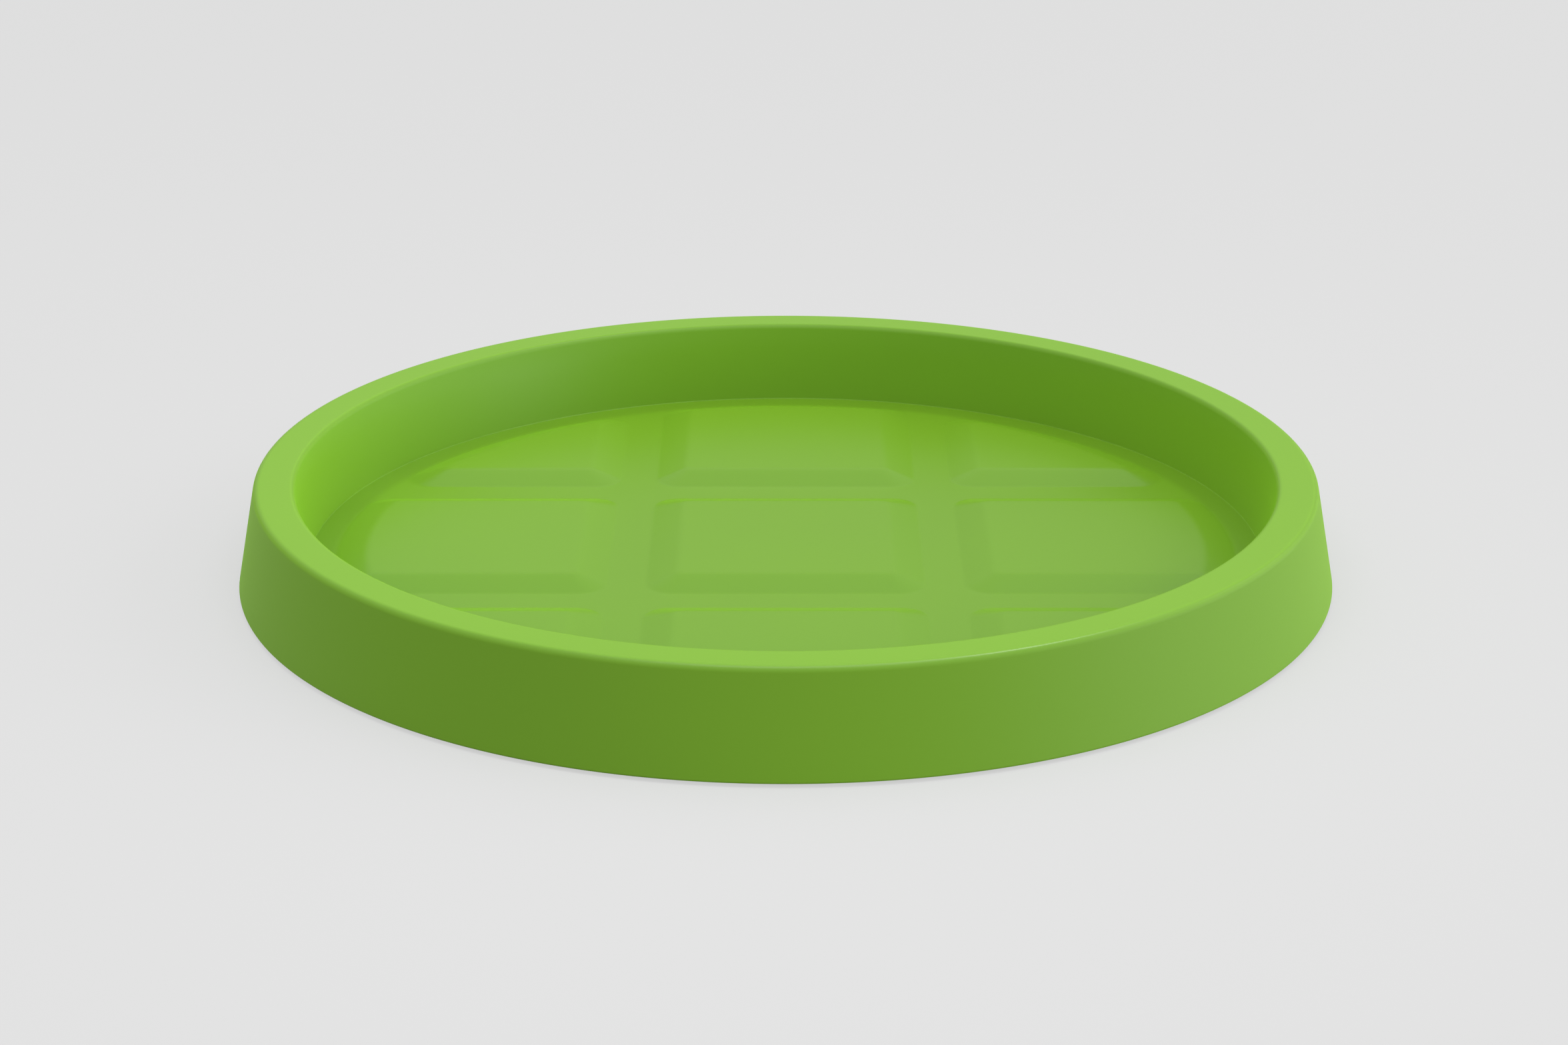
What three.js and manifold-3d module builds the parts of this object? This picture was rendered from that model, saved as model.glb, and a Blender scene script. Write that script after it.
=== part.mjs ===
// Round plant saucer: a moulded dish shell with raised pads, a snap-in base panel and non-slip feet.
// Millimetres, +Z up. The origin is on the ground under the saucer's centre.

import * as THREE from 'three';
import { mergeVertices } from 'three/addons/utils/BufferGeometryUtils.js';
import Module from 'manifold-3d';

// Driving dimensions: outline of the dish
const SKIRT_FOOT_RADIUS = 250;
const RIM_OUTER_RADIUS = 241.25;
const RIM_INNER_RADIUS = 223;
const WALL_FOOT_RADIUS = 218.5;
const DISH_HEIGHT = 46.5;
const CHANNEL_HEIGHT = 7.75;
const SKIN = 2.5;
const RIM_FILLET = 1.75;
const RIM_INNER_FILLET = 2.5;
const SKIRT_FOOT_FILLET = 0.6;
const WALL_FOOT_FILLET = 1.5;

// Driving dimensions: raised pads on the floor
const PAD_RISE = 4.3;
const PAD_SLOPE_RUN = 14;
const PAD_HALF_WIDTH = 48.5;
const CHANNEL_WIDTH = 45.5;
const PAD_ARC_RADIUS = 192;
const PAD_TOP_CORNER_RADIUS = 3;
const PAD_FOOT_CORNER_RADIUS = 12;
const ROWS_AROUND = 4; // sides of the middle pad, each with a side pad and a corner pad

// Driving dimensions: bead inside the skirt, and ribs across the hollow rim
const BEAD_HEIGHT = 5;
const BEAD_THICKNESS = 2;
const BEAD_REACH = 1.6;
const BEAD_RAMP = 1;
const RIB_COUNT = 16;
const RIB_THICKNESS = 2;
const RIB_FOOT_HEIGHT = 20;

// Driving dimensions: base panel, its posts, hooks and drain holes
const PANEL_THICKNESS = 2.5;
const PANEL_RADIUS = 246.6;
const PANEL_RIB_RADII = [105, 208];
const PANEL_RIB_THICKNESS = 2;
const POST_RADIUS = 12;
const HOOK_COUNT = 12;
const HOOK_WIDTH = 20;
const HOOK_THICKNESS = 2;
const HOOK_NOSE = 1.2;
const HOOK_NOSE_HEIGHT = 2.5;
const HOOK_GAP = 0.7; // wider than the other gaps, because a flat hook stands inside a round bead
const DRAIN_COUNT = 4;
const DRAIN_RADIUS = 4;
const DRAIN_RING_RADIUS = 232;

// Driving dimensions: feet
const FOOT_PROUD = 1.5;
const FOOT_RADIUS = 14;
const FOOT_RECESS = 0.8;
const FOOT_EDGE_FILLET = 0.6;
const FOOT_RING_RADIUS = 172;
const STEM_RADIUS = 8;
const STEM_LENGTH = 6.5;

// Clearance between pieces, overlap of joined forms, and how finely curves are divided
const GAP = 0.3;
const OVERLAP = 1;
const DISH_SEGMENTS = 96;
const ROUND_SEGMENTS = 24;
const FILLET_STEPS = 3;
const PAD_ARC_STEPS = 10;
const PAD_CORNER_STEPS = 4;

// Heights above the ground
const SKIRT_FOOT_Z = FOOT_PROUD;
const CHANNEL_Z = SKIRT_FOOT_Z + CHANNEL_HEIGHT;
const PAD_Z = CHANNEL_Z + PAD_RISE;
const RIM_Z = SKIRT_FOOT_Z + DISH_HEIGHT;
const PANEL_TOP_Z = SKIRT_FOOT_Z + PANEL_THICKNESS;
const PAD_UNDERSIDE_Z = PAD_Z - SKIN;

// Leans of the two walls, as radius lost or gained per millimetre of height, and their level thickness
const SKIRT_LEAN = (SKIRT_FOOT_RADIUS - RIM_OUTER_RADIUS) / DISH_HEIGHT;
const WALL_LEAN = (RIM_INNER_RADIUS - WALL_FOOT_RADIUS) / (RIM_Z - CHANNEL_Z);
const SKIRT_SKIN = SKIN * Math.hypot(1, SKIRT_LEAN);
const WALL_SKIN = SKIN * Math.hypot(1, WALL_LEAN);

const PAD_START = PAD_HALF_WIDTH + CHANNEL_WIDTH;
const QUARTER_TURN = Math.PI / 2;
const DRAIN_TURN = QUARTER_TURN / 2; // sets the drain holes midway between two hooks

const wasm = await Module();
wasm.setup();

const skirtRadius = (z) => SKIRT_FOOT_RADIUS - SKIRT_LEAN * (z - SKIRT_FOOT_Z);
const wallRadius = (z) => WALL_FOOT_RADIUS + WALL_LEAN * (z - CHANNEL_Z);
const skirtInsideRadius = (z) => skirtRadius(z) - SKIRT_SKIN;
const wallBackRadius = (z) => wallRadius(z) + WALL_SKIN;

// Shape helpers

function point(x, y) {
  return new THREE.Vector2(x, y);
}

function anglesAround(count) {
  return Array.from({ length: count }, (_, i) => (i * 2 * Math.PI) / count);
}

function arc(centre, radius, from, to, steps) {
  return Array.from({ length: steps + 1 }, (_, i) => {
    const angle = from + ((to - from) * i) / steps;
    return point(centre.x + radius * Math.cos(angle), centre.y + radius * Math.sin(angle));
  });
}

/** Profile points in which each corner that states a fillet is rounded by a tangent arc. */
function roundedProfile(corners) {
  return corners.flatMap(({ at, fillet = 0 }, i) => {
    if (fillet === 0) {
      return [at];
    }
    const toPrevious = corners[i - 1].at.clone().sub(at).normalize();
    const toNext = corners[i + 1].at.clone().sub(at).normalize();
    const halfAngle = toPrevious.angleTo(toNext) / 2;
    const inward = toPrevious.clone().add(toNext).normalize();
    const centre = at.clone().addScaledVector(inward, fillet / Math.sin(halfAngle));
    const reach = fillet / Math.tan(halfAngle);
    const start = at.clone().addScaledVector(toPrevious, reach).sub(centre);
    const turn = Math.sign(toPrevious.cross(toNext)) * (Math.PI - 2 * halfAngle);
    return arc(centre, fillet, start.angle(), start.angle() - turn, FILLET_STEPS);
  });
}

/** Closed solid of a geometry, with its shared vertices merged and collapsed triangles dropped. */
function solidOf(geometry) {
  geometry.deleteAttribute('normal');
  geometry.deleteAttribute('uv');
  const merged = mergeVertices(geometry);
  const corners = merged.index.array;
  const triVerts = [];
  for (let i = 0; i < corners.length; i += 3) {
    const [a, b, c] = corners.slice(i, i + 3);
    if (a !== b && b !== c && c !== a) {
      triVerts.push(a, b, c);
    }
  }
  const mesh = new wasm.Mesh({
    numProp: 3,
    vertProperties: merged.attributes.position.array,
    triVerts: new Uint32Array(triVerts),
  });
  return new wasm.Manifold(mesh);
}

function geometryOf(solid) {
  const mesh = solid.getMesh();
  const geometry = new THREE.BufferGeometry();
  geometry.setAttribute('position', new THREE.BufferAttribute(mesh.vertProperties, mesh.numProp));
  geometry.setIndex(new THREE.BufferAttribute(mesh.triVerts, 1));
  geometry.computeVertexNormals();
  return geometry;
}

/** Solid turned about Z from a profile whose points are radius and height. */
function turned(profile, segments) {
  return solidOf(new THREE.LatheGeometry(profile, segments).rotateX(QUARTER_TURN));
}

/** Upright round bar with its axis at (x, y), between two heights. */
function bar(radius, fromZ, toZ, x = 0, y = 0) {
  const geometry = new THREE.CylinderGeometry(radius, radius, toZ - fromZ, ROUND_SEGMENTS);
  geometry.rotateX(QUARTER_TURN).translate(x, y, (fromZ + toZ) / 2);
  return solidOf(geometry);
}

/** Flat plate standing on a radius, from an outline in radius and height, centred on an angle about Z. */
function radialPlate(outline, thickness, angle) {
  const geometry = new THREE.ExtrudeGeometry(new THREE.Shape(outline), {
    depth: thickness,
    bevelEnabled: false,
  });
  geometry.rotateX(QUARTER_TURN).translate(0, thickness / 2, 0).rotateZ(angle);
  return solidOf(geometry);
}

/** Solid between two outlines of equally many points, one at each height. */
function loft(lower, lowerZ, upper, upperZ) {
  const count = lower.length;
  const positions = [
    ...lower.flatMap(({ x, y }) => [x, y, lowerZ]),
    ...upper.flatMap(({ x, y }) => [x, y, upperZ]),
  ];
  const index = [];
  for (let i = 0; i < count; i += 1) {
    const next = (i + 1) % count;
    index.push(i, next, count + next, i, count + next, count + i);
  }
  for (const [a, b, c] of THREE.ShapeUtils.triangulateShape(upper, [])) {
    index.push(count + a, count + b, count + c, c, b, a);
  }
  const geometry = new THREE.BufferGeometry();
  geometry.setAttribute('position', new THREE.Float32BufferAttribute(positions, 3));
  geometry.setIndex(index);
  return solidOf(geometry);
}

// Pads: outlines seen from above, at a margin outside the pad's top

/** Rounding of a pad's corners, which grows from its top to its foot. */
function cornerRounding(margin) {
  return THREE.MathUtils.lerp(PAD_TOP_CORNER_RADIUS, PAD_FOOT_CORNER_RADIUS, margin / PAD_SLOPE_RUN);
}

function centrePadOutline(margin) {
  const rounding = cornerRounding(margin);
  const reach = PAD_HALF_WIDTH + margin - rounding;
  return anglesAround(ROWS_AROUND).flatMap((angle) => {
    const centre = point(reach, reach).rotateAround(point(0, 0), angle);
    return arc(centre, rounding, angle, angle + QUARTER_TURN, PAD_CORNER_STEPS);
  });
}

/** Outline of the pad on the +X side: three straight sides and one on the floor's circle. */
function sidePadOutline(margin) {
  const outer = PAD_ARC_RADIUS + margin;
  const rounding = cornerRounding(margin);
  const innerX = PAD_START - margin + rounding;
  const cornerY = PAD_HALF_WIDTH + margin - rounding;
  const cornerX = Math.sqrt((outer - rounding) ** 2 - cornerY ** 2);
  const meet = Math.atan2(cornerY, cornerX);
  return [
    ...arc(point(innerX, -cornerY), rounding, -Math.PI, -QUARTER_TURN, PAD_CORNER_STEPS),
    ...arc(point(cornerX, -cornerY), rounding, -QUARTER_TURN, -meet, PAD_CORNER_STEPS),
    ...arc(point(0, 0), outer, -meet, meet, PAD_ARC_STEPS).slice(1, -1),
    ...arc(point(cornerX, cornerY), rounding, meet, QUARTER_TURN, PAD_CORNER_STEPS),
    ...arc(point(innerX, cornerY), rounding, QUARTER_TURN, Math.PI, PAD_CORNER_STEPS),
  ];
}

/** Outline of the pad between +X and +Y: two straight sides and one on the floor's circle. */
function cornerPadOutline(margin) {
  const outer = PAD_ARC_RADIUS + margin;
  const rounding = cornerRounding(margin);
  const near = PAD_START - margin + rounding;
  const far = Math.sqrt((outer - rounding) ** 2 - near ** 2);
  const meet = Math.atan2(near, far);
  return [
    ...arc(point(near, near), rounding, Math.PI, Math.PI + QUARTER_TURN, PAD_CORNER_STEPS),
    ...arc(point(far, near), rounding, -QUARTER_TURN, meet, PAD_CORNER_STEPS),
    ...arc(point(0, 0), outer, meet, QUARTER_TURN - meet, PAD_ARC_STEPS).slice(1, -1),
    ...arc(point(near, far), rounding, QUARTER_TURN - meet, Math.PI, PAD_CORNER_STEPS),
  ];
}

/** The nine pads, each a function from a margin to an outline. */
function padOutlines() {
  const turnedBy = (outline, angle) => (margin) =>
    outline(margin).map((corner) => corner.rotateAround(point(0, 0), angle));
  const around = anglesAround(ROWS_AROUND).flatMap((angle) => [
    turnedBy(sidePadOutline, angle),
    turnedBy(cornerPadOutline, angle),
  ]);
  return [centrePadOutline, ...around];
}

/** Pad-shaped block with sloping sides that run on down to lowZ; topMargin is measured at topZ. */
function padBlock(outline, topMargin, topZ, lowZ) {
  const lowMargin = topMargin + (PAD_SLOPE_RUN / PAD_RISE) * (topZ - lowZ);
  return loft(outline(lowMargin), lowZ, outline(topMargin), topZ);
}

// Dish shell: skirt, rim, inner wall and floor in one even skin

function dishProfile() {
  const beadLow = SKIRT_FOOT_Z + BEAD_HEIGHT;
  const beadHigh = beadLow + BEAD_THICKNESS;
  const underRim = RIM_Z - SKIN;
  const underFloor = CHANNEL_Z - SKIN;
  return roundedProfile([
    { at: point(0, underFloor) },
    { at: point(wallBackRadius(underFloor), underFloor), fillet: WALL_FOOT_FILLET + SKIN },
    { at: point(wallBackRadius(underRim), underRim) },
    { at: point(skirtInsideRadius(underRim), underRim) },
    { at: point(skirtInsideRadius(beadHigh + BEAD_RAMP), beadHigh + BEAD_RAMP) },
    { at: point(skirtInsideRadius(beadHigh) - BEAD_REACH, beadHigh) },
    { at: point(skirtInsideRadius(beadLow) - BEAD_REACH, beadLow) },
    { at: point(skirtInsideRadius(beadLow - BEAD_RAMP), beadLow - BEAD_RAMP) },
    { at: point(skirtInsideRadius(SKIRT_FOOT_Z), SKIRT_FOOT_Z) },
    { at: point(skirtRadius(SKIRT_FOOT_Z), SKIRT_FOOT_Z), fillet: SKIRT_FOOT_FILLET },
    { at: point(RIM_OUTER_RADIUS, RIM_Z), fillet: RIM_FILLET },
    { at: point(RIM_INNER_RADIUS, RIM_Z), fillet: RIM_INNER_FILLET },
    { at: point(WALL_FOOT_RADIUS, CHANNEL_Z), fillet: WALL_FOOT_FILLET },
    { at: point(0, CHANNEL_Z) },
  ]);
}

function rimRib(angle) {
  const low = SKIRT_FOOT_Z + RIB_FOOT_HEIGHT;
  const high = RIM_Z - SKIN / 2;
  const inSkirt = (z) => skirtRadius(z) - SKIRT_SKIN / 2;
  const inWall = (z) => wallRadius(z) + WALL_SKIN / 2;
  const outline = [
    point(inWall(low), low),
    point(inSkirt(low), low),
    point(inSkirt(high), high),
    point(inWall(high), high),
  ];
  return radialPlate(outline, RIB_THICKNESS, angle);
}

function dishShell() {
  const slopeLength = Math.hypot(PAD_SLOPE_RUN, PAD_RISE);
  const pocketMargin = (SKIN * PAD_SLOPE_RUN) / PAD_RISE - (SKIN * slopeLength) / PAD_RISE;
  let shell = turned(dishProfile(), DISH_SEGMENTS);
  for (const angle of anglesAround(RIB_COUNT)) {
    shell = shell.add(rimRib(angle));
  }
  for (const outline of padOutlines()) {
    shell = shell.add(padBlock(outline, 0, PAD_Z, CHANNEL_Z - OVERLAP));
  }
  for (const outline of padOutlines()) {
    shell = shell.subtract(padBlock(outline, pocketMargin, PAD_UNDERSIDE_Z, CHANNEL_Z - SKIN - OVERLAP));
  }
  return shell;
}

// Base panel: a disc that closes the hollow, with ring ribs that stiffen it, a post under each pad
// and hooks over the skirt's bead

/** Places of the feet and of the posts above them: one at the centre and one under each other pad. */
function footPlaces() {
  const ring = anglesAround(2 * ROWS_AROUND).map((angle) =>
    point(FOOT_RING_RADIUS, 0).rotateAround(point(0, 0), angle),
  );
  return [point(0, 0), ...ring];
}

function hook(angle) {
  const low = PANEL_TOP_Z - OVERLAP;
  const noseLow = SKIRT_FOOT_Z + BEAD_HEIGHT + BEAD_THICKNESS + BEAD_RAMP + GAP;
  const noseHigh = noseLow + HOOK_NOSE_HEIGHT;
  const outside = skirtInsideRadius(SKIRT_FOOT_Z + BEAD_HEIGHT + BEAD_THICKNESS) - BEAD_REACH - HOOK_GAP;
  const outline = [
    point(outside - HOOK_THICKNESS, low),
    point(outside, low),
    point(outside, noseLow - HOOK_NOSE),
    point(outside + HOOK_NOSE, noseLow),
    point(outside, noseHigh),
    point(outside - HOOK_THICKNESS, noseHigh),
  ];
  return radialPlate(outline, HOOK_WIDTH, angle);
}

function basePanel() {
  const postTop = PAD_UNDERSIDE_Z - GAP;
  const recessRoof = SKIRT_FOOT_Z + FOOT_RECESS;
  const ribTop = CHANNEL_Z - SKIN - GAP;
  const ribs = PANEL_RIB_RADII.toReversed().flatMap((radius) => [
    point(radius, PANEL_TOP_Z),
    point(radius, ribTop),
    point(radius - PANEL_RIB_THICKNESS, ribTop),
    point(radius - PANEL_RIB_THICKNESS, PANEL_TOP_Z),
  ]);
  const disc = [
    point(0, SKIRT_FOOT_Z),
    point(PANEL_RADIUS, SKIRT_FOOT_Z),
    point(PANEL_RADIUS, PANEL_TOP_Z),
    ...ribs,
    point(0, PANEL_TOP_Z),
  ];
  let panel = turned(disc, DISH_SEGMENTS);
  for (const angle of anglesAround(HOOK_COUNT)) {
    panel = panel.add(hook(angle));
  }
  for (const { x, y } of footPlaces()) {
    panel = panel.add(bar(POST_RADIUS, PANEL_TOP_Z - OVERLAP, postTop, x, y));
    panel = panel.subtract(bar(STEM_RADIUS + GAP, SKIRT_FOOT_Z - OVERLAP, postTop + OVERLAP, x, y));
    panel = panel.subtract(bar(FOOT_RADIUS + GAP, SKIRT_FOOT_Z - OVERLAP, recessRoof, x, y));
  }
  for (const angle of anglesAround(DRAIN_COUNT)) {
    const place = point(DRAIN_RING_RADIUS, 0).rotateAround(point(0, 0), angle + DRAIN_TURN);
    panel = panel.subtract(
      bar(DRAIN_RADIUS, SKIRT_FOOT_Z - OVERLAP, PANEL_TOP_Z + OVERLAP, place.x, place.y),
    );
  }
  return panel;
}

// Foot: a soft disc with a stem, drawn about its own axis with its sole on the ground

function foot() {
  const discTop = FOOT_PROUD + FOOT_RECESS - GAP;
  const stemTop = discTop + STEM_LENGTH;
  const profile = roundedProfile([
    { at: point(0, 0) },
    { at: point(FOOT_RADIUS, 0), fillet: FOOT_EDGE_FILLET },
    { at: point(FOOT_RADIUS, discTop) },
    { at: point(STEM_RADIUS, discTop) },
    { at: point(STEM_RADIUS, stemTop) },
    { at: point(0, stemTop) },
  ]);
  return turned(profile, ROUND_SEGMENTS);
}

// Materials
const greenPlastic = new THREE.MeshStandardMaterial({ color: 0x86b53c, roughness: 0.45, metalness: 0 });
const panelPlastic = new THREE.MeshStandardMaterial({ color: 0x6f9a30, roughness: 0.6, metalness: 0 });
const footRubber = new THREE.MeshStandardMaterial({ color: 0x2b2c29, roughness: 0.85, metalness: 0 });

// Assembly
function piece(name, geometry, material) {
  const mesh = new THREE.Mesh(geometry, material);
  mesh.name = name;
  return mesh;
}

const saucer = new THREE.Group();
saucer.add(piece('dish_shell', geometryOf(dishShell()), greenPlastic));
saucer.add(piece('base_panel', geometryOf(basePanel()), panelPlastic));

const footGeometry = geometryOf(foot());
footPlaces().forEach(({ x, y }, i) => {
  const mesh = piece(`foot_${i + 1}`, footGeometry, footRubber);
  mesh.position.set(x, y, 0);
  saucer.add(mesh);
});

export default saucer;
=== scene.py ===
"""Looks of a plant saucer: a lime-green moulded dish with raised pads, its base panel and rubber feet."""
import math
from collections import namedtuple

import bmesh
import bpy
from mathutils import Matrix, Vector


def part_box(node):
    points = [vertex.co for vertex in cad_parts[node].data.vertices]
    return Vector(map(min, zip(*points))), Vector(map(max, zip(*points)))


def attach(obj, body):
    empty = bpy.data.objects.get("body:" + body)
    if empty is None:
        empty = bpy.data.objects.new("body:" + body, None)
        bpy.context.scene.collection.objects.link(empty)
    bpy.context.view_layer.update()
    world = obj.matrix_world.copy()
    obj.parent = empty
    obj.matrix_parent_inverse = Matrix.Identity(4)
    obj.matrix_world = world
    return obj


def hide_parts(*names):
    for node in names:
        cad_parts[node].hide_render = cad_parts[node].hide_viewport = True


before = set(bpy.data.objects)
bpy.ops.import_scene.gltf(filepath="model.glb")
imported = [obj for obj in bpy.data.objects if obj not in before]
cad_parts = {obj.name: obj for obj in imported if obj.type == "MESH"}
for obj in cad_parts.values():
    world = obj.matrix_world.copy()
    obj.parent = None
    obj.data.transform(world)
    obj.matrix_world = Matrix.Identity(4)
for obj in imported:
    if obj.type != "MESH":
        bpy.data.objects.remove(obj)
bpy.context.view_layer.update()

# Lengths are in metres, and most sizes are written in millimetres
MM = 0.001
QUARTER_TURN = math.pi / 2
FULL_TURN = 2 * math.pi
CENTRE = Vector((0, 0))
WHITE = (1, 1, 1, 1)

# Dish outline
SKIRT_FOOT_RADIUS = 250 * MM
RIM_OUTER_RADIUS = 241.25 * MM
RIM_INNER_RADIUS = 223 * MM
WALL_FOOT_RADIUS = 218.5 * MM
CHANNEL_HEIGHT = 7.75 * MM
SKIN = 2.5 * MM
RIM_FILLET = 3 * MM
RIM_INNER_FILLET = 2.5 * MM
SKIRT_FOOT_FILLET = 0.8 * MM
SKIRT_LIP_FILLET = 0.3 * MM
WALL_FOOT_FILLET = 0.3 * MM

# Raised pads on the floor
PAD_RISE = 4.3 * MM
PAD_SLOPE_RUN = 14 * MM
PAD_HALF_WIDTH = 48.5 * MM
CHANNEL_WIDTH = 45.5 * MM
PAD_ARC_RADIUS = 192 * MM
PAD_CORNER_TOP = 3 * MM
PAD_CORNER_FOOT = 12 * MM
PAD_CREST_FILLET = 12 * MM
PAD_TROUGH_FILLET = 6 * MM
FLOOR_SIDES = 4

# Bead inside the skirt, and ribs across the hollow rim
BEAD_HEIGHT = 5 * MM
BEAD_THICKNESS = 2 * MM
BEAD_REACH = 1.6 * MM
BEAD_RAMP = 1 * MM
RIB_COUNT = 16
RIB_THICKNESS = 2 * MM
RIB_FOOT_HEIGHT = 20 * MM

# Base panel, its posts, hooks and drain holes
PANEL_THICKNESS = 2.5 * MM
PANEL_RADIUS = 246.6 * MM
PANEL_EDGE_FILLET = 0.4 * MM
PANEL_RIB_RADII = (105 * MM, 208 * MM)
PANEL_RIB_THICKNESS = 2 * MM
POST_RADIUS = 12 * MM
POST_FOOT_FILLET = 0.8 * MM
RECESS_EDGE_FILLET = 0.2 * MM
HOOK_COUNT = 12
HOOK_WIDTH = 20 * MM
HOOK_THICKNESS = 2 * MM
HOOK_NOSE = 1.2 * MM
HOOK_NOSE_HEIGHT = 2.5 * MM
HOOK_GAP = 0.7 * MM
DRAIN_COUNT = 4
DRAIN_RADIUS = 4 * MM
DRAIN_RING_RADIUS = 232 * MM

# Feet
FOOT_RADIUS = 14 * MM
FOOT_RECESS = 0.8 * MM
FOOT_EDGE_FILLET = 0.6 * MM
STEM_RADIUS = 8 * MM
STEM_LENGTH = 6.5 * MM

# Clearance between pieces, and depth of a form sunk into another
GAP = 0.3 * MM
SUNK = 1 * MM

# How finely curves and runs are divided, and from which angle on an edge is sharp
DISH_SEGMENTS = 256
HOLE_SEGMENTS = 48
FILLET_STEP = math.radians(8)
LEAST_FILLET_STEPS = 2
PAD_CORNER_STEPS = 8
PAD_ARC_STEPS = 28
RUN_STEPS = 4
SHARP_ANGLE = math.radians(35)

# Distance of the point that keeps a run flat from the arc beside it, and a gap too small to fill
SUPPORT = 0.4 * MM
TOUCHING = 0.01 * MM

# Heights, from the frame
dish_low, dish_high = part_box("dish_shell")
SKIRT_FOOT_Z = dish_low.z
RIM_Z = dish_high.z
CHANNEL_Z = SKIRT_FOOT_Z + CHANNEL_HEIGHT
PAD_Z = CHANNEL_Z + PAD_RISE
PANEL_TOP_Z = SKIRT_FOOT_Z + PANEL_THICKNESS
BEAD_LOW_Z = SKIRT_FOOT_Z + BEAD_HEIGHT
BEAD_HIGH_Z = BEAD_LOW_Z + BEAD_THICKNESS

# Leans of the two walls, as radius lost or gained for each unit of height, and their level thickness
SKIRT_LEAN = (SKIRT_FOOT_RADIUS - RIM_OUTER_RADIUS) / (RIM_Z - SKIRT_FOOT_Z)
WALL_LEAN = (RIM_INNER_RADIUS - WALL_FOOT_RADIUS) / (RIM_Z - CHANNEL_Z)
SKIRT_SKIN = SKIN * math.hypot(1, SKIRT_LEAN)
WALL_SKIN = SKIN * math.hypot(1, WALL_LEAN)


def skirt_radius(z):
    return SKIRT_FOOT_RADIUS - SKIRT_LEAN * (z - SKIRT_FOOT_Z)


def skirt_inside(z):
    return skirt_radius(z) - SKIRT_SKIN


def wall_radius(z):
    return WALL_FOOT_RADIUS + WALL_LEAN * (z - CHANNEL_Z)


def wall_back(z):
    return wall_radius(z) + WALL_SKIN


# Lines

def angles_around(count):
    return [FULL_TURN * i / count for i in range(count)]


def on_circle(radius, angle, centre=CENTRE):
    return centre + radius * Vector((math.cos(angle), math.sin(angle)))


def turned(point, angle):
    return Vector((
        point.x * math.cos(angle) - point.y * math.sin(angle),
        point.x * math.sin(angle) + point.y * math.cos(angle),
    ))


def bend(centre, radius, start, end, steps):
    """Points along an arc, both ends included."""
    return [on_circle(radius, start + (end - start) * i / steps, Vector(centre)) for i in range(steps + 1)]


def rounded(corners):
    """Points of a path in which each corner, given as its place and fillet, is an arc.

    A point close to each end of an arc keeps the straight runs flat.
    """
    points = []
    for i, (place, fillet) in enumerate(corners):
        corner = Vector(place)
        if fillet == 0:
            points.append(corner)
            continue
        back = (Vector(corners[i - 1][0]) - corner).normalized()
        ahead = (Vector(corners[i + 1][0]) - corner).normalized()
        half = back.angle(ahead) / 2
        reach = fillet / math.tan(half)
        centre = corner + (back + ahead).normalized() * (fillet / math.sin(half))
        spoke = corner + back * reach - centre
        start = math.atan2(spoke.y, spoke.x)
        turn = math.copysign(math.pi - 2 * half, ahead.cross(back))
        steps = max(LEAST_FILLET_STEPS, math.ceil(abs(turn) / FILLET_STEP))
        points.append(corner + back * (reach + SUPPORT))
        points += bend(centre, fillet, start, start + turn, steps)
        points.append(corner + ahead * (reach + SUPPORT))
    return points


def between_ends(corners):
    """Points of a rounded path without its two ends, which only give its first and last direction."""
    return rounded(corners)[1:-1]


def closed_outline(arcs):
    """One closed line through arcs, with straight runs where two of them don't touch."""
    points = []
    for arc, following in zip(arcs, arcs[1:] + arcs[:1]):
        run = following[0] - arc[-1]
        if run.length < TOUCHING:
            points += arc[:-1]
            continue
        near = SUPPORT / run.length
        shares = [near, *(i / RUN_STEPS for i in range(1, RUN_STEPS)), 1 - near]
        points += arc
        points += [arc[-1] + run * share for share in shares]
    return points


# Pads: outlines seen from above, at a margin outside the pad's top

def corner_rounding(margin):
    return PAD_CORNER_TOP + (PAD_CORNER_FOOT - PAD_CORNER_TOP) * margin / PAD_SLOPE_RUN


def corner_arc(centre, rounding, start, end):
    return bend(centre, rounding, start, end, PAD_CORNER_STEPS)


def centre_pad(margin):
    """The square pad in the middle."""
    rounding = corner_rounding(margin)
    reach = PAD_HALF_WIDTH + margin - rounding
    corner = Vector((reach, reach))
    arcs = []
    for angle in angles_around(FLOOR_SIDES):
        arcs.append(corner_arc(turned(corner, angle), rounding, angle, angle + QUARTER_TURN))
    return closed_outline(arcs)


def side_pad(margin):
    """The pad on the +X side: three straight sides and one on the floor's circle."""
    half = PAD_HALF_WIDTH + margin
    outer = PAD_ARC_RADIUS + margin
    rounding = corner_rounding(margin)
    inner_x = PAD_HALF_WIDTH + CHANNEL_WIDTH - margin + rounding
    corner_y = half - rounding
    corner_x = math.sqrt((outer - rounding) ** 2 - corner_y ** 2)
    meet = math.atan2(corner_y, corner_x)
    return closed_outline([
        corner_arc((inner_x, -corner_y), rounding, -math.pi, -QUARTER_TURN),
        corner_arc((corner_x, -corner_y), rounding, -QUARTER_TURN, -meet),
        bend(CENTRE, outer, -meet, meet, PAD_ARC_STEPS),
        corner_arc((corner_x, corner_y), rounding, meet, QUARTER_TURN),
        corner_arc((inner_x, corner_y), rounding, QUARTER_TURN, math.pi),
    ])


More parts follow.
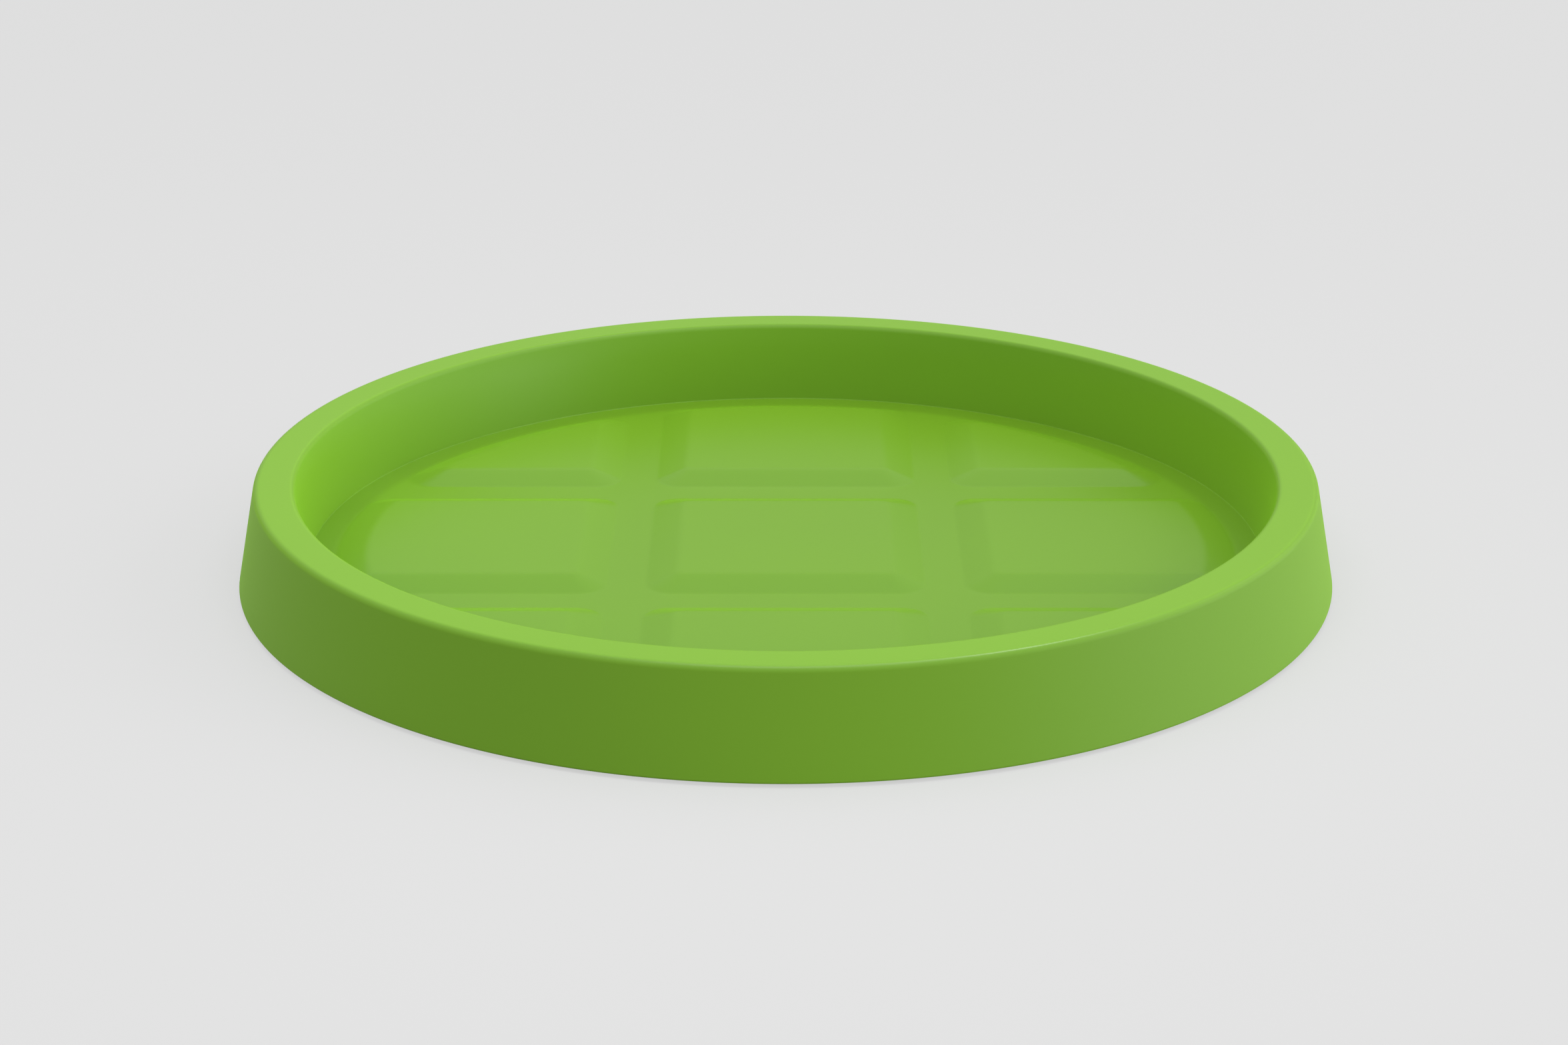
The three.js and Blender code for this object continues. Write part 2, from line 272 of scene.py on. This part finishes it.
def corner_pad(margin):
    """The pad between +X and +Y: two straight sides and one on the floor's circle."""
    outer = PAD_ARC_RADIUS + margin
    start = PAD_HALF_WIDTH + CHANNEL_WIDTH - margin
    rounding = corner_rounding(margin)
    near = start + rounding
    far = math.sqrt((outer - rounding) ** 2 - near ** 2)
    meet = math.atan2(near, far)
    return closed_outline([
        corner_arc((near, near), rounding, math.pi, math.pi + QUARTER_TURN),
        corner_arc((far, near), rounding, -QUARTER_TURN, meet),
        bend(CENTRE, outer, meet, QUARTER_TURN - meet, PAD_ARC_STEPS),
        corner_arc((near, far), rounding, QUARTER_TURN - meet, math.pi),
    ])


# The nine pads, each as an outline and the angle that it is turned by
PADS = [(centre_pad, 0)]
for side_angle in angles_around(FLOOR_SIDES):
    PADS += [(side_pad, side_angle), (corner_pad, side_angle)]


# Meshes

def join(bm, rings):
    """Faces between each ring of vertices and the next."""
    for lower, upper in zip(rings, rings[1:]):
        for i in range(len(lower)):
            bm.faces.new((lower[i - 1], lower[i], upper[i], upper[i - 1]))


def turn_profile(bm, profile, segments, place=CENTRE):
    """Joined rings about an upright axis, one for each radius and height of a profile."""
    rings = []
    for radius, z in profile:
        circle = [on_circle(radius, angle, place) for angle in angles_around(segments)]
        rings.append([bm.verts.new((*point, z)) for point in circle])
    join(bm, rings)
    return rings


def fill(bm, *rings):
    """Flat faces inside the first ring and outside the others."""
    edges = [bm.edges.get((ring[i - 1], ring[i])) for ring in rings for i in range(len(ring))]
    bmesh.ops.triangle_fill(bm, edges=edges, use_beauty=True)


def standing_plate(bm, outline, thickness, angle):
    """Closed plate that stands on a radius, from an outline in radius and height."""
    along = Vector((math.cos(angle), math.sin(angle), 0))
    across = Vector((-math.sin(angle), math.cos(angle), 0))
    sides = []
    for offset in (-thickness / 2, thickness / 2):
        sides.append([bm.verts.new(along * r + across * offset + Vector((0, 0, z))) for r, z in outline])
    join(bm, sides)
    for side in sides:
        bm.faces.new(side)


def shown(name, data):
    """Object with a mesh, lamp or camera, in the scene."""
    thing = bpy.data.objects.new(name, data)
    bpy.context.scene.collection.objects.link(thing)
    return thing


def mesh_of(bm, name, material):
    mesh = bpy.data.meshes.new(name)
    bm.to_mesh(mesh)
    bm.free()
    mesh.materials.append(material)
    return mesh


def finished(bm, name, material, node):
    """The mesh as a piece that rides on the saucer's body and stands for a node of the construction."""
    bmesh.ops.recalc_face_normals(bm, faces=bm.faces)
    for face in bm.faces:
        face.smooth = True
    mesh = mesh_of(bm, name, material)
    mesh.set_sharp_from_angle(angle=SHARP_ANGLE)
    piece = shown(name, mesh)
    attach(piece, "root")
    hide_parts(node)
    return piece


# Dish: skirt, rim, inner wall and floor in one skin

def dish_profile():
    """From the floor's edge up the inner wall, over the rim and round the skirt to the floor's underside."""
    under_rim = RIM_Z - SKIN
    under_floor = CHANNEL_Z - SKIN
    floor_edge = WALL_FOOT_RADIUS - WALL_FOOT_FILLET - SKIN
    ramp_low = BEAD_LOW_Z - BEAD_RAMP
    ramp_high = BEAD_HIGH_Z + BEAD_RAMP
    return rounded([
        ((floor_edge, CHANNEL_Z), 0),
        ((WALL_FOOT_RADIUS, CHANNEL_Z), WALL_FOOT_FILLET),
        ((RIM_INNER_RADIUS, RIM_Z), RIM_INNER_FILLET),
        ((RIM_OUTER_RADIUS, RIM_Z), RIM_FILLET),
        ((SKIRT_FOOT_RADIUS, SKIRT_FOOT_Z), SKIRT_FOOT_FILLET),
        ((skirt_inside(SKIRT_FOOT_Z), SKIRT_FOOT_Z), SKIRT_LIP_FILLET),
        ((skirt_inside(ramp_low), ramp_low), 0),
        ((skirt_inside(BEAD_LOW_Z) - BEAD_REACH, BEAD_LOW_Z), 0),
        ((skirt_inside(BEAD_HIGH_Z) - BEAD_REACH, BEAD_HIGH_Z), 0),
        ((skirt_inside(ramp_high), ramp_high), 0),
        ((skirt_inside(under_rim), under_rim), 0),
        ((wall_back(under_rim), under_rim), 0),
        ((wall_back(under_floor), under_floor), WALL_FOOT_FILLET + SKIN),
        ((floor_edge, under_floor), 0),
    ])


def pad_foot(bm, outline, angle, top_margin, top_z, floor_z):
    """Builds one pad, from its level top down the slope, and gives the ring where it meets the floor."""
    foot_margin = top_margin + PAD_SLOPE_RUN
    slope = between_ends([
        ((top_margin - PAD_SLOPE_RUN, top_z), 0),
        ((top_margin, top_z), PAD_CREST_FILLET),
        ((foot_margin, floor_z), PAD_TROUGH_FILLET),
        ((foot_margin + PAD_SLOPE_RUN, floor_z), 0),
    ])
    rings = []
    for margin, z in slope:
        line = [turned(point, angle) for point in outline(margin)]
        rings.append([bm.verts.new((*point, z)) for point in line])
    join(bm, rings)
    bm.faces.new(rings[0])
    return rings[-1]


def rim_rib(bm, angle):
    low = SKIRT_FOOT_Z + RIB_FOOT_HEIGHT
    high = RIM_Z - SKIN / 2
    in_skirt = SKIRT_SKIN / 2
    in_wall = WALL_SKIN / 2
    outline = [
        (wall_radius(low) + in_wall, low),
        (skirt_radius(low) - in_skirt, low),
        (skirt_radius(high) - in_skirt, high),
        (wall_radius(high) + in_wall, high),
    ]
    standing_plate(bm, outline, RIB_THICKNESS, angle)


def dish(material):
    bm = bmesh.new()
    rings = turn_profile(bm, dish_profile(), DISH_SEGMENTS)
    pads = [pad_foot(bm, *pad, 0, PAD_Z, CHANNEL_Z) for pad in PADS]
    fill(bm, rings[0], *pads)

    # The pocket under a pad lies one skin behind its top and its slope
    pocket_margin = SKIN * (PAD_SLOPE_RUN - math.hypot(PAD_SLOPE_RUN, PAD_RISE)) / PAD_RISE
    pockets = [pad_foot(bm, *pad, pocket_margin, PAD_Z - SKIN, CHANNEL_Z - SKIN) for pad in PADS]
    fill(bm, rings[-1], *pockets)
    for angle in angles_around(RIB_COUNT):
        rim_rib(bm, angle)
    piece = finished(bm, "dish", material, "dish_shell")


# Base panel: one closed skin with its posts, ring ribs and drain holes, and hooks sunk into it

def foot_places():
    """Name and middle of each foot, from the frame."""
    places = []
    for name in sorted(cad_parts):
        if name.startswith("foot_"):
            low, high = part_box(name)
            places.append((name, ((low + high) / 2).xy))
    return places


def post_profile():
    """From the panel's underside up the foot's recess and bore, over the post and down to the panel."""
    recess_roof = SKIRT_FOOT_Z + FOOT_RECESS
    post_top = PAD_Z - SKIN - GAP
    recess_radius = FOOT_RADIUS + GAP
    bore_radius = STEM_RADIUS + GAP
    return between_ends([
        ((recess_radius + FOOT_RADIUS, SKIRT_FOOT_Z), 0),
        ((recess_radius, SKIRT_FOOT_Z), RECESS_EDGE_FILLET),
        ((recess_radius, recess_roof), 0),
        ((bore_radius, recess_roof), 0),
        ((bore_radius, post_top), 0),
        ((POST_RADIUS, post_top), PANEL_EDGE_FILLET),
        ((POST_RADIUS, PANEL_TOP_Z), POST_FOOT_FILLET),
        ((POST_RADIUS + FOOT_RADIUS, PANEL_TOP_Z), 0),
    ])


def panel_edge_profile(radius, toward_panel):
    """Rounded edge of the panel at a radius, from its underside to its top."""
    return between_ends([
        ((radius + toward_panel, SKIRT_FOOT_Z), 0),
        ((radius, SKIRT_FOOT_Z), PANEL_EDGE_FILLET),
        ((radius, PANEL_TOP_Z), PANEL_EDGE_FILLET),
        ((radius + toward_panel, PANEL_TOP_Z), 0),
    ])


def ring_rib_profile(radius):
    rib_top = CHANNEL_Z - SKIN - GAP
    inside = radius - PANEL_RIB_THICKNESS
    return [(radius, PANEL_TOP_Z), (radius, rib_top), (inside, rib_top), (inside, PANEL_TOP_Z)]


def hook(bm, angle):
    low = PANEL_TOP_Z - SUNK
    nose_low = BEAD_HIGH_Z + BEAD_RAMP + GAP
    nose_high = nose_low + HOOK_NOSE_HEIGHT
    outside = skirt_inside(BEAD_HIGH_Z) - BEAD_REACH - HOOK_GAP
    outline = [
        (outside - HOOK_THICKNESS, low),
        (outside, low),
        (outside, nose_low - HOOK_NOSE),
        (outside + HOOK_NOSE, nose_low),
        (outside, nose_high),
        (outside - HOOK_THICKNESS, nose_high),
    ]
    standing_plate(bm, outline, HOOK_WIDTH, angle)


def base_panel(material):
    bm = bmesh.new()
    edge = turn_profile(bm, panel_edge_profile(PANEL_RADIUS, -PANEL_THICKNESS), DISH_SEGMENTS)
    inner_rib, outer_rib = (turn_profile(bm, ring_rib_profile(r), DISH_SEGMENTS) for r in PANEL_RIB_RADII)
    posts = [turn_profile(bm, post_profile(), HOLE_SEGMENTS, place) for _, place in foot_places()]
    drain_profile = panel_edge_profile(DRAIN_RADIUS, PANEL_THICKNESS)
    drains = []
    for angle in angles_around(DRAIN_COUNT):
        place = on_circle(DRAIN_RING_RADIUS, angle + QUARTER_TURN / 2)
        drains.append(turn_profile(bm, drain_profile, HOLE_SEGMENTS, place))

    # Underside first, then the top inside the inner rib, between the ribs and outside the outer rib
    fill(bm, edge[0], *(hole[0] for hole in posts + drains))
    fill(bm, inner_rib[-1], posts[0][-1])
    fill(bm, outer_rib[-1], inner_rib[0], *(post[-1] for post in posts[1:]))
    fill(bm, edge[-1], outer_rib[0], *(drain[-1] for drain in drains))
    for angle in angles_around(HOOK_COUNT):
        hook(bm, angle)
    piece = finished(bm, "panel", material, "base_panel")


# Feet: a soft disc with a stem

def foot_profile():
    disc_top = SKIRT_FOOT_Z + FOOT_RECESS - GAP
    stem_top = disc_top + STEM_LENGTH
    return between_ends([
        ((0, 0), 0),
        ((FOOT_RADIUS, 0), FOOT_EDGE_FILLET),
        ((FOOT_RADIUS, disc_top), 0),
        ((STEM_RADIUS, disc_top), 0),
        ((STEM_RADIUS, stem_top), FOOT_EDGE_FILLET),
        ((0, stem_top), 0),
    ])


def feet(material):
    for name, place in foot_places():
        bm = bmesh.new()
        rings = turn_profile(bm, foot_profile(), HOLE_SEGMENTS, place)
        bm.faces.new(rings[0])
        bm.faces.new(rings[-1])
        piece = finished(bm, name.replace("foot", "rubber_foot"), material, name)


# Finishes: drifts are shares of the tone and parts of the roughness, grain is counted on a metre

Finish = namedtuple("Finish", "tone tone_drift roughness roughness_drift grain_count grain_depth")
DISH_FINISH = Finish(
    tone=(0.253, 0.541, 0.0216, 1),
    tone_drift=0.05,
    roughness=0.32,
    roughness_drift=0.06,
    grain_count=900,
    grain_depth=0.02 * MM,
)
PANEL_FINISH = Finish(
    tone=(0.19, 0.40, 0.02, 1),
    tone_drift=0.08,
    roughness=0.55,
    roughness_drift=0.10,
    grain_count=900,
    grain_depth=0.04 * MM,
)
RUBBER_FINISH = Finish(
    tone=(0.03, 0.032, 0.028, 1),
    tone_drift=0.20,
    roughness=0.80,
    roughness_drift=0.10,
    grain_count=1500,
    grain_depth=0.08 * MM,
)

# Patches of drift on a metre, layers of finer noise in drift and grain, and the middle of the noise
DRIFT_COUNT = 9
DRIFT_DETAIL = 3
GRAIN_DETAIL = 2
NOISE_MIDDLE = 0.5

# Painted light and shade of the dish's faces, as factors on its written tone: painted shade on the floor,
# deeper in the gutter and on the inner wall, painted light on the rim, none on the skirt; and roughness of
# its walls
FLOOR_PAINTED_SHADE = 0.912
GUTTER_PAINTED_SHADE = 0.78
RIM_PAINTED_LIGHT = 1.074
WALL_PAINTED_SHADE = 0.915
SKIRT_TONE = 1
WALL_ROUGHNESS = 0.42
SKIRT_ROUGHNESS = 0.60

# Reflections and soft edge sheen of the dish's plastic
DISH_SPECULAR = 0.47
DISH_DIFFUSE_ROUGHNESS = 0.8
DISH_SHEEN = 0.4
DISH_SHEEN_ROUGHNESS = 0.3
DISH_SHEEN_TINT = (0.47, 1, 0.04, 1)

# Upward share of the normal over which a steep face passes into a level one, in roughness and in painted
# light and shade
ROUGHNESS_STEP = (0.70, 0.85)
PAINTED_LIGHT_STEP = (0.85, 0.97)

# Radius over which the floor's painted shade deepens into the gutter's, and the wall's roughness into the
# skirt's
GUTTER_SHADE_STEP = (204 * MM, 209 * MM)
WALL_STEP = (221.5 * MM, 223 * MM)

# Share of each axis that is kept when a place is laid flat
FLAT = (1, 1, 0)


# Nodes: what a node is fed with is a value or another node's output

def feed(tree, socket, source):
    """Sets a socket to a value, or links another node's output to it."""
    if isinstance(source, bpy.types.NodeSocket):
        tree.links.new(source, socket)
    else:
        socket.default_value = source


def calculated(tree, operation, *sources):
    node = tree.nodes.new("ShaderNodeMath")
    node.operation = operation
    for socket, source in zip(node.inputs, sources):
        feed(tree, socket, source)
    return node.outputs["Value"]


def spread(tree, value, span, low, high):
    """Runs from low to high over a span of the value, and holds at both ends."""
    node = tree.nodes.new("ShaderNodeMapRange")
    feed(tree, node.inputs["Value"], value)
    feed(tree, node.inputs["From Min"], span[0])
    feed(tree, node.inputs["From Max"], span[1])
    feed(tree, node.inputs["To Min"], low)
    feed(tree, node.inputs["To Max"], high)
    return node.outputs["Result"]


def noise(tree, place, count, detail):
    node = tree.nodes.new("ShaderNodeTexNoise")
    feed(tree, node.inputs["Vector"], place)
    feed(tree, node.inputs["Scale"], count)
    feed(tree, node.inputs["Detail"], detail)
    return node.outputs["Fac"]


def toned(tree, colour, value):
    """The colour, made brighter or duller by a factor."""
    node = tree.nodes.new("ShaderNodeHueSaturation")
    feed(tree, node.inputs["Color"], colour)
    feed(tree, node.inputs["Value"], value)
    return node.outputs["Color"]


def upward_part(tree, vector):
    node = tree.nodes.new("ShaderNodeSeparateXYZ")
    feed(tree, node.inputs["Vector"], vector)
    return node.outputs["Z"]


def axis_distance(tree, place):
    """Distance of a place from the saucer's upright axis."""
    flat_place = tree.nodes.new("ShaderNodeVectorMath")
    flat_place.operation = "MULTIPLY"
    feed(tree, flat_place.inputs[0], place)
    feed(tree, flat_place.inputs[1], FLAT)
    length = tree.nodes.new("ShaderNodeVectorMath")
    length.operation = "LENGTH"
    feed(tree, length.inputs[0], flat_place.outputs["Vector"])
    return length.outputs["Value"]


# Materials

def moulded_surface():
    """Node group of a moulded surface: a slight drift of tone and roughness, and a fine grain."""
    tree = bpy.data.node_groups.new("moulded_surface", "ShaderNodeTree")
    for name, side, kind in (
        ("Tone", "INPUT", "NodeSocketColor"),
        ("Tone Drift", "INPUT", "NodeSocketFloat"),
        ("Roughness", "INPUT", "NodeSocketFloat"),
        ("Roughness Drift", "INPUT", "NodeSocketFloat"),
        ("Grain Count", "INPUT", "NodeSocketFloat"),
        ("Colour", "OUTPUT", "NodeSocketColor"),
        ("Roughness", "OUTPUT", "NodeSocketFloat"),
        ("Height", "OUTPUT", "NodeSocketFloat"),
    ):
        tree.interface.new_socket(name, in_out=side, socket_type=kind)
    given = tree.nodes.new("NodeGroupInput").outputs
    made = tree.nodes.new("NodeGroupOutput").inputs
    place = tree.nodes.new("ShaderNodeTexCoord").outputs["Object"]

    drift = calculated(tree, "SUBTRACT", noise(tree, place, DRIFT_COUNT, DRIFT_DETAIL), NOISE_MIDDLE)
    factor = calculated(tree, "MULTIPLY_ADD", drift, given["Tone Drift"], 1)
    roughness = calculated(tree, "MULTIPLY_ADD", drift, given["Roughness Drift"], given["Roughness"])
    feed(tree, made["Colour"], toned(tree, given["Tone"], factor))
    feed(tree, made["Roughness"], roughness)
    feed(tree, made["Height"], noise(tree, place, given["Grain Count"], GRAIN_DETAIL))
    return tree


def moulded_material(name, surface_group, finish):
    """Material of one moulded piece, and its surface node, whose inputs hold the finish."""
    material = bpy.data.materials.new(name)
    material.use_nodes = True
    tree = material.node_tree
    surface = tree.nodes.new("ShaderNodeGroup")
    surface.node_tree = surface_group
    surface.inputs["Tone"].default_value = finish.tone
    surface.inputs["Tone Drift"].default_value = finish.tone_drift
    surface.inputs["Roughness"].default_value = finish.roughness
    surface.inputs["Roughness Drift"].default_value = finish.roughness_drift
    surface.inputs["Grain Count"].default_value = finish.grain_count
    bump = tree.nodes.new("ShaderNodeBump")
    bump.inputs["Distance"].default_value = finish.grain_depth
    shader = tree.nodes["Principled BSDF"]
    tree.links.new(surface.outputs["Height"], bump.inputs["Height"])
    tree.links.new(surface.outputs["Colour"], shader.inputs["Base Color"])
    tree.links.new(surface.outputs["Roughness"], shader.inputs["Roughness"])
    tree.links.new(bump.outputs["Normal"], shader.inputs["Normal"])
    return material, surface


def dish_plastic(surface_group):
    """The dish's plastic: painted shade on the floor, gutter and inner wall, painted light on the rim, and
    rougher on the walls than on level faces.
    """
    material, surface = moulded_material("dish_plastic", surface_group, DISH_FINISH)
    tree = material.node_tree
    shader = tree.nodes["Principled BSDF"]
    shader.inputs["Specular IOR Level"].default_value = DISH_SPECULAR
    shader.inputs["Diffuse Roughness"].default_value = DISH_DIFFUSE_ROUGHNESS
    shader.inputs["Sheen Weight"].default_value = DISH_SHEEN
    shader.inputs["Sheen Roughness"].default_value = DISH_SHEEN_ROUGHNESS
    shader.inputs["Sheen Tint"].default_value = DISH_SHEEN_TINT
    place = tree.nodes.new("ShaderNodeTexCoord")
    upward = upward_part(tree, place.outputs["Normal"])
    height = upward_part(tree, place.outputs["Object"])
    radius = axis_distance(tree, place.outputs["Object"])

    # Painted shade: the inner wall is painted darker than the skirt, which keeps the written tone
    steep_painted_shade = spread(tree, radius, (RIM_INNER_RADIUS, RIM_OUTER_RADIUS), WALL_PAINTED_SHADE, SKIRT_TONE)
    # Painted shade: the floor is painted darker than the written tone, and darker still in the gutter by the
    # wall's foot
    floor_painted_shade = spread(tree, radius, GUTTER_SHADE_STEP, FLOOR_PAINTED_SHADE, GUTTER_PAINTED_SHADE)
    # Painted light and shade by height: the floor's painted shade low down, passing into the rim's painted
    # light at the top
    level_painted_light_and_shade = spread(tree, height, (CHANNEL_Z, RIM_Z), floor_painted_shade, RIM_PAINTED_LIGHT)
    # Painted light and shade on level faces, passing into the walls' painted shade as faces turn steep
    face_painted_light_and_shade = spread(tree, upward, PAINTED_LIGHT_STEP, steep_painted_shade, level_painted_light_and_shade)
    feed(tree, surface.inputs["Tone"], toned(tree, DISH_FINISH.tone, face_painted_light_and_shade))

    steep_roughness = spread(tree, radius, WALL_STEP, WALL_ROUGHNESS, SKIRT_ROUGHNESS)
    face_roughness = spread(tree, upward, ROUGHNESS_STEP, steep_roughness, DISH_FINISH.roughness)
    feed(tree, surface.inputs["Roughness"], face_roughness)
    return material


# Floor: the paper's own grey, and the paleness that only the eye and reflections see
FLOOR_HALF_WIDTH = 20
FLOOR_PAPER = (0.20, 0.20, 0.20, 1)
FLOOR_PALE = (0.57, 0.57, 0.57, 1)

# Strength of the studio dome at the horizon and overhead
DOME_HORIZON = 0.213
DOME_ZENITH = 0.926

# Lamps: the level is that of a white card at the saucer that faces the lamp.
# Azimuth from +X and height over the floor are in degrees, distance and size in metres.
Lamp = namedtuple("Lamp", "name level azimuth height distance wide tall")
LAMP_AIM = Vector((0, 0, 30 * MM))
LAMPS = [
    Lamp("right_bank", 0.33, 2, 28, 8, 12, 4),
    Lamp("right_low", 0.335, 0, 4, 8, 12, 1),
    Lamp("front_spot", 0.09, -22, 6, 5, 1, 0.8),
    Lamp("front_top", 0.165, 270, 65, 0.7, 0.35, 0.35),
    Lamp("top", 0.08, 90, 90, 0.7, 0.5, 0.5),
    Lamp("left_fill", 0.03, 180, 30, 1.6, 0.8, 0.8),
]

# Small lamp that shows only as a glint on rounded edges
GLINT = Lamp("glint", 0.16, 24, 65, 1.6, 0.2, 0.2)

# Camera at the photograph's viewing angle, tilted up from straight down, with its lens in millimetres
CAMERA_PLACE = (-0.0008, -1.46689, 0.55627)
CAMERA_TILT = math.radians(69.92)
CAMERA_LENS = 77.86
SENSOR_WIDTH = 36


def floor_paper():
    """Grey paper that keeps the saucer's shadow and looks pale without lighting the saucer."""
    material = bpy.data.materials.new("floor_paper")
    material.use_nodes = True
    tree = material.node_tree
    shader = tree.nodes["Principled BSDF"]
    shader.inputs["Base Color"].default_value = FLOOR_PAPER
    shader.inputs["Roughness"].default_value = 1
    shader.inputs["Specular IOR Level"].default_value = 0
    shader.inputs["Emission Color"].default_value = FLOOR_PALE
    ray = tree.nodes.new("ShaderNodeLightPath")
    reflected = calculated(tree, "MAXIMUM", ray.outputs["Is Glossy Ray"], ray.outputs["Is Transmission Ray"])
    seen = calculated(tree, "MAXIMUM", ray.outputs["Is Camera Ray"], reflected)
    tree.links.new(seen, shader.inputs["Emission Strength"])
    return material


def floor():
    bm = bmesh.new()
    half = FLOOR_HALF_WIDTH
    corners = ((-half, -half), (half, -half), (half, half), (-half, half))
    bm.faces.new([bm.verts.new((x, y, 0)) for x, y in corners])
    sheet = shown("floor", mesh_of(bm, "floor", floor_paper()))


def dome():
    """White studio dome, brighter overhead than at the horizon."""
    world = bpy.data.worlds.new("studio")
    world.use_nodes = True
    tree = world.node_tree
    way = tree.nodes.new("ShaderNodeTexCoord")
    level = spread(tree, upward_part(tree, way.outputs["Generated"]), (0, 1), DOME_HORIZON, DOME_ZENITH)
    background = tree.nodes["Background"]
    background.inputs["Color"].default_value = WHITE
    tree.links.new(level, background.inputs["Strength"])
    bpy.context.scene.world = world


def soft_lamp(lamp):
    light = bpy.data.lights.new(lamp.name, "AREA")
    light.shape = "RECTANGLE"
    light.size = lamp.wide
    light.size_y = lamp.tall
    light.energy = lamp.level * (math.pi * lamp.distance) ** 2
    stand = shown(lamp.name, light)
    azimuth = math.radians(lamp.azimuth)
    height = math.radians(lamp.height)
    way = Vector((*on_circle(math.cos(height), azimuth), math.sin(height)))
    stand.location = LAMP_AIM + way * lamp.distance
    stand.rotation_euler = way.to_track_quat("Z", "Y").to_euler()
    return stand


def camera():
    lens = bpy.data.cameras.new("camera")
    lens.lens = CAMERA_LENS
    lens.sensor_width = SENSOR_WIDTH
    eye = shown("camera", lens)
    eye.location = CAMERA_PLACE
    eye.rotation_euler = (CAMERA_TILT, 0, 0)
    bpy.context.scene.camera = eye


camera()
moulded_group = moulded_surface()
dish(dish_plastic(moulded_group))
base_panel(moulded_material("panel_plastic", moulded_group, PANEL_FINISH)[0])
feet(moulded_material("foot_rubber", moulded_group, RUBBER_FINISH)[0])
floor()
dome()
for lamp in LAMPS:
    soft_lamp(lamp)
soft_lamp(GLINT).visible_diffuse = False
bpy.context.scene.view_settings.view_transform = "Standard"
